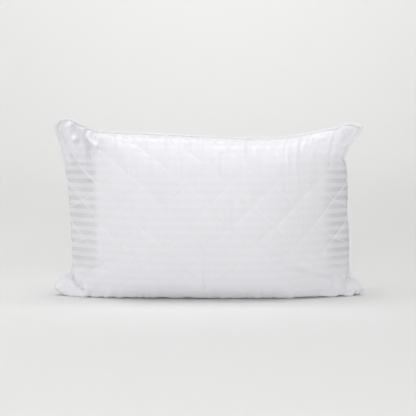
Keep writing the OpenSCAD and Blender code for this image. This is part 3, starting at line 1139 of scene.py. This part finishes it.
class PILLOW_OT_filling(PillowOperator):
    """Loose fibre filling"""

    bl_idname = "pillow.filling"
    bl_label = "Filling"

    def execute(self, context):
        """Closes one lumpy body between the two linings."""
        grids = []
        for side, _, _, (x, z), depths in both_sides("lining"):
            lumps = soft_noise(x / 0.012 + 20, z / 0.012 + 20, 600 + side)
            lumps += 0.6 * soft_noise(x / 0.005 + 20, z / 0.005 + 20, 610 + side)
            room = ease(seam_distance(x, z) / 0.02)
            depth = depths[2] + 0.2 * MM + 0.8 * MM * (1.6 + lumps) * room
            grids.append(under_surface(side, depth, 2))
        places = [place[::2, ::2] for place in (x, z)]
        piece = shell_object("fibre_filling", grids[0], grids[1], places, FRONT)
        add_material(piece, fibre_material("hollow_fibre", list(settings("cloth").fibre), 260.0))
        settle(piece, "fibre_fill", "fibre_fill")
        return {"FINISHED"}


class PILLOW_OT_piping(PillowOperator):
    """Corded piping round the rim"""

    bl_idname = "pillow.piping"
    bl_label = "Piping"

    def execute(self, context):
        """Sweeps the fabric sleeve and the cord inside it round the rim."""
        path, outward, sideways = rim_frame()
        radius = float(SLEEVE_BOX[1][1] - SLEEVE_BOX[0][1]) / 2 * 1.04
        n = np.arange(len(path))
        wave = soft_noise(n / 3.1, n * 0.0, 700) * 0.07 + soft_noise(n / 1.3, n * 0.0, 701) * 0.04
        corner = bell((np.abs(path[:, 0]) - 0.345) / 0.035) * (path[:, 2] > 0.3)
        turn = np.linspace(0, 2 * np.pi, PIPE_SIDES, endpoint=False)
        rise = (wave * (1 + 1.5 * corner))[:, None] * (0.6 + 0.4 * np.cos(turn))[None]
        ruck = np.maximum(1 + rise, 0.88)
        centre = path + outward * radius * STAND_OFF
        centre[:, 2] = np.maximum(centre[:, 2], radius * 1.1)
        sleeve = tube_object("piping_sleeve_fabric", centre, outward, sideways, radius * ruck, PIPE_SIDES,
                             closed_inside=radius * HOLLOW_SHARE)
        add_material(sleeve, sateen_material("piping_sateen", striped=False))
        settle(sleeve, "piping_fabric", "piping_sleeve")
        strands = 0.12 * np.cos(3 * turn[None] + 2 * np.pi * n[:, None] * round(len(n) / 4) / len(n))
        cord = tube_object("twisted_piping_cord", centre, outward, sideways,
                           radius * CORD_SHARE * (1 + strands), PIPE_SIDES)
        add_material(cord, twisted_material("cotton_cord", CORD_COLOUR, 0.004, 0.85))
        settle(cord, "piping_cord", "piping_cord")
        return {"FINISHED"}


class PILLOW_OT_quilting_stitches(PillowOperator):
    """Quilting stitches on both covers"""

    bl_idname = "pillow.quilting_stitches"
    bl_label = "Quilting stitches"

    def execute(self, context):
        """Lays one stitch along each cell that a stitch line crosses."""
        material = twisted_material("quilting_thread", list(settings("cloth").thread), 0.3, 0.5)
        for _, name, surface, places, _ in both_sides("quilting_thread"):
            grid, normals = surface["grid"], surface["normals"]
            falling, rising = (np.abs(distance) < ON_LINE for distance in cell_distances(*places))
            a = np.concatenate([grid[:-1, 1:][falling], grid[:-1, :-1][rising]])
            b = np.concatenate([grid[1:, :-1][falling], grid[1:, 1:][rising]])
            lift = np.concatenate([normals[:-1, 1:][falling], normals[:-1, :-1][rising]])
            clear = (a[:, 2] + b[:, 2]) / 2 > 3 * MM
            a, b, lift = a[clear], b[clear], lift[clear]
            gap = STITCH_GAP * (b - a)
            piece = stitches_object(f"stitches_{name}", a + gap, b - gap, lift, 0.6 * MM, 0.5 * MM)
            settle(add_material(piece, material), "quilting_thread", name)
        return {"FINISHED"}


class PILLOW_OT_seam_stitches(PillowOperator):
    """Seam stitches beside the piping and the closing stitch"""

    bl_idname = "pillow.seam_stitches"
    bl_label = "Seam stitches"

    def execute(self, context):
        """Runs a line of stitches round each side of the rim, and whips the filling opening shut."""
        material = twisted_material("seam_thread", shade(settings("cloth").thread, 0.97), 0.3, 0.5)
        path = rim_frame()[0]
        following = np.roll(path, -1, 0)
        starts, ends, lifts = [], [], []
        for side in (FRONT, BACK):
            beside = np.array([0, side * (EDGE + 0.1 * MM), 0])
            starts.append(path * (1 - STITCH_GAP) + following * STITCH_GAP + beside)
            ends.append(path * STITCH_GAP + following * (1 - STITCH_GAP) + beside)
            lifts.append(np.broadcast_to([0.0, side, 0.0], path.shape))
        piece = stitches_object("stitches_perimeter", *(np.concatenate(p) for p in (starts, ends, lifts)),
                                0.3 * MM, 0.3 * MM)
        settle(add_material(piece, material), "seam_thread", "perimeter_stitching")
        low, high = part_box("closing_stitch")
        near = (path[:, 0] > low[0]) & (path[:, 0] < high[0]) & (path[:, 2] < 0.05)
        place = path[near][::2]
        start = place + np.array([0.0012, 0.0018, -0.0012])
        end = place + np.array([-0.0012, EDGE + 0.0016, 0.0008])
        lift = np.broadcast_to([0.0, 0.7, -0.7], place.shape)
        closing = stitches_object("stitches_closing", start, end, lift, 0.35 * MM, 0.3 * MM)
        settle(add_material(closing, material), "seam_thread", "closing_stitch")
        return {"FINISHED"}


class PILLOW_OT_care_label(PillowOperator):
    """Blank care label behind the top seam"""

    bl_idname = "pillow.care_label"
    bl_label = "Care label"

    def execute(self, context):
        """Hangs a ribbon over the back cover below the seam, a little further off it at its free end."""
        surface = pillow_surfaces()[BACK]
        low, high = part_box("care_label")
        x = surface["grid"][:, -1, 0]
        columns = np.flatnonzero((x > low[0] - 0.001) & (x < high[0] + 0.001))
        rows = np.arange(surface["grid"].shape[1])[-LABEL_ROWS:]
        picked = np.ix_(columns, rows)
        hang = np.linspace(1, 0, len(rows))[None, :, None]
        wave = (1 + 0.3 * np.sin(np.linspace(0, 3, len(columns))))[:, None, None]
        curl = 0.5 * MM + 2.6 * MM * hang**2 * wave
        normals = surface["normals"][picked]
        inner = surface["grid"][picked] + normals * curl
        inner[:, -1] = surface["grid"][picked][:, -1] + np.array([0, EDGE + 0.4 * MM, 0])
        outer = inner + unit(normals + [0, 0.2, 0]) * 0.35 * MM
        places = [surface[k][picked] for k in ("x", "z")]
        piece = add_material(shell_object("blank_care_label", outer, inner, places, BACK), label_material())
        settle(piece, "care_label", "care_label")
        size = [float(np.ptp(p)) for p in places]
        return {"FINISHED"}


# The sweep: flat to FLOOR_REACH, then a quarter turn of radius WALL_BEND, then a wall up to WALL_TOP.
FLOOR_REACH, WALL_BEND, WALL_TOP = 3.0, 2.0, 4.5
ROOM_LIGHT = 0.02

# Soft lights: name, place, what each points at, size in metres and power in watts.
LIGHTS = (
    ("overhead", (0, 0, 2.8), (0, 0, 0.2), 1.6, 50),
    ("front", (0, -2.6, 0.5), (0, 0, 0.2), 1.2, 17.5),
    ("front_right", (2.2, -2.2, 1.0), (0, 0, 0.2), 1.2, 7),
    ("left", (-2.6, -0.3, 1.0), (0, 0, 0.2), 1.4, 16),
    ("wall_behind", (0, 2.2, 3.6), (0, 5, 2.2), 1.6, 89),
    ("wall_before", (0, -2.2, 3.6), (0, -5, 2.2), 1.6, 46),
    ("wall_left", (-2.2, 0, 3.6), (-5, 0, 2.2), 1.6, 38),
    ("wall_right", (2.2, 0, 3.6), (5, 0, 2.2), 1.6, 18),
)


class PILLOW_OT_stage(PillowOperator):
    """Sweep, lights and camera"""

    bl_idname = "pillow.stage"
    bl_label = "Stage"

    def execute(self, context):
        """Turns the sweep's profile round the pillow, and sets the lights and the camera."""
        stage = settings("stage")
        scene = context.scene
        turn = np.linspace(0, 2 * np.pi, 97)[:, None]
        bend = np.linspace(0, np.pi / 2, 24)
        flat = np.linspace(0, FLOOR_REACH, 12)
        curve = FLOOR_REACH + WALL_BEND * np.sin(bend[1:])
        reach = np.concatenate([flat, curve, [FLOOR_REACH + WALL_BEND]])
        height = np.concatenate([0 * flat, WALL_BEND - WALL_BEND * np.cos(bend[1:]), [WALL_TOP]])
        points = np.stack(np.broadcast_arrays(reach * np.cos(turn), reach * np.sin(turn), height), -1)
        sweep = make_object("sweep", points.reshape(-1, 3), grid_faces(*points.shape[:2], turned=True))
        add_material(sweep, floor_material())
        world = bpy.data.worlds.new("room")
        world.use_nodes = True
        background = world.node_tree.nodes["Background"]
        background.inputs[0].default_value = (1, 1, 1, 1)
        background.inputs[1].default_value = ROOM_LIGHT
        scene.world = world
        for name, place, aim, size, power in LIGHTS:
            light = bpy.data.lights.new(name, "AREA")
            light.energy, light.size = power, size
            lamp = bpy.data.objects.new(name, light)
            scene.collection.objects.link(lamp)
            lamp.location = place
            lamp.rotation_euler = (Vector(aim) - Vector(place)).to_track_quat("-Z", "Y").to_euler()
            lamp.visible_camera = False
        camera = bpy.data.objects.new("camera", bpy.data.cameras.new("camera"))
        scene.collection.objects.link(camera)
        camera.data.lens, camera.data.sensor_width = stage.lens, 36
        back = Vector((0, -math.cos(stage.elevation), math.sin(stage.elevation)))
        camera.location = Vector((0, 0, stage.aim_height)) + back * stage.distance
        camera.rotation_euler = (-back).to_track_quat("-Z", "Y").to_euler()
        camera.data.clip_start, camera.data.clip_end = 0.05, 50
        scene.camera = camera
        scene.view_settings.view_transform = "Standard"
        return {"FINISHED"}


class PILLOW_PT_panel(bpy.types.Panel):
    """The pillow's sizes and pieces."""

    bl_label = "Quilted pillow"
    bl_idname = "PILLOW_PT_panel"
    bl_space_type = "VIEW_3D"
    bl_region_type = "UI"
    bl_category = "Pillow"

    def draw(self, context):
        """Lists the settings and the operators."""
        for group in GROUPS:
            box = self.layout.box()
            box.label(text=group.capitalize())
            for name in GROUPS[group].__annotations__:
                box.prop(settings(group), name)
        for operator in OPERATORS:
            self.layout.operator(operator.bl_idname)


GROUPS = {"shape": PillowShape, "cloth": PillowCloth, "stage": PillowStage}
OPERATORS = (
    PILLOW_OT_stage, PILLOW_OT_covers, PILLOW_OT_wadding, PILLOW_OT_linings, PILLOW_OT_filling,
    PILLOW_OT_piping, PILLOW_OT_quilting_stitches, PILLOW_OT_seam_stitches, PILLOW_OT_care_label,
)


def register():
    """Registers the settings, the operators and the panel."""
    for group in GROUPS.values():
        bpy.utils.register_class(group)
    for operator in (*OPERATORS, PILLOW_PT_panel):
        bpy.utils.register_class(operator)
    for name, group in GROUPS.items():
        setattr(bpy.types.Scene, f"pillow_{name}", bpy.props.PointerProperty(type=group))


def unregister():
    """Takes back what register did."""
    for name in GROUPS:
        delattr(bpy.types.Scene, f"pillow_{name}")
    for operator in (PILLOW_PT_panel, *reversed(OPERATORS)):
        bpy.utils.unregister_class(operator)
    for group in GROUPS.values():
        bpy.utils.unregister_class(group)


def main():
    """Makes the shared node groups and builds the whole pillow."""
    register()
    for build in (stripes_group, weave_group, mottle_group, fibres_group):
        build()
    for operator in OPERATORS:
        group, name = operator.bl_idname.split(".")
        getattr(getattr(bpy.ops, group), name)()


if __name__ == "__main__":
    main()
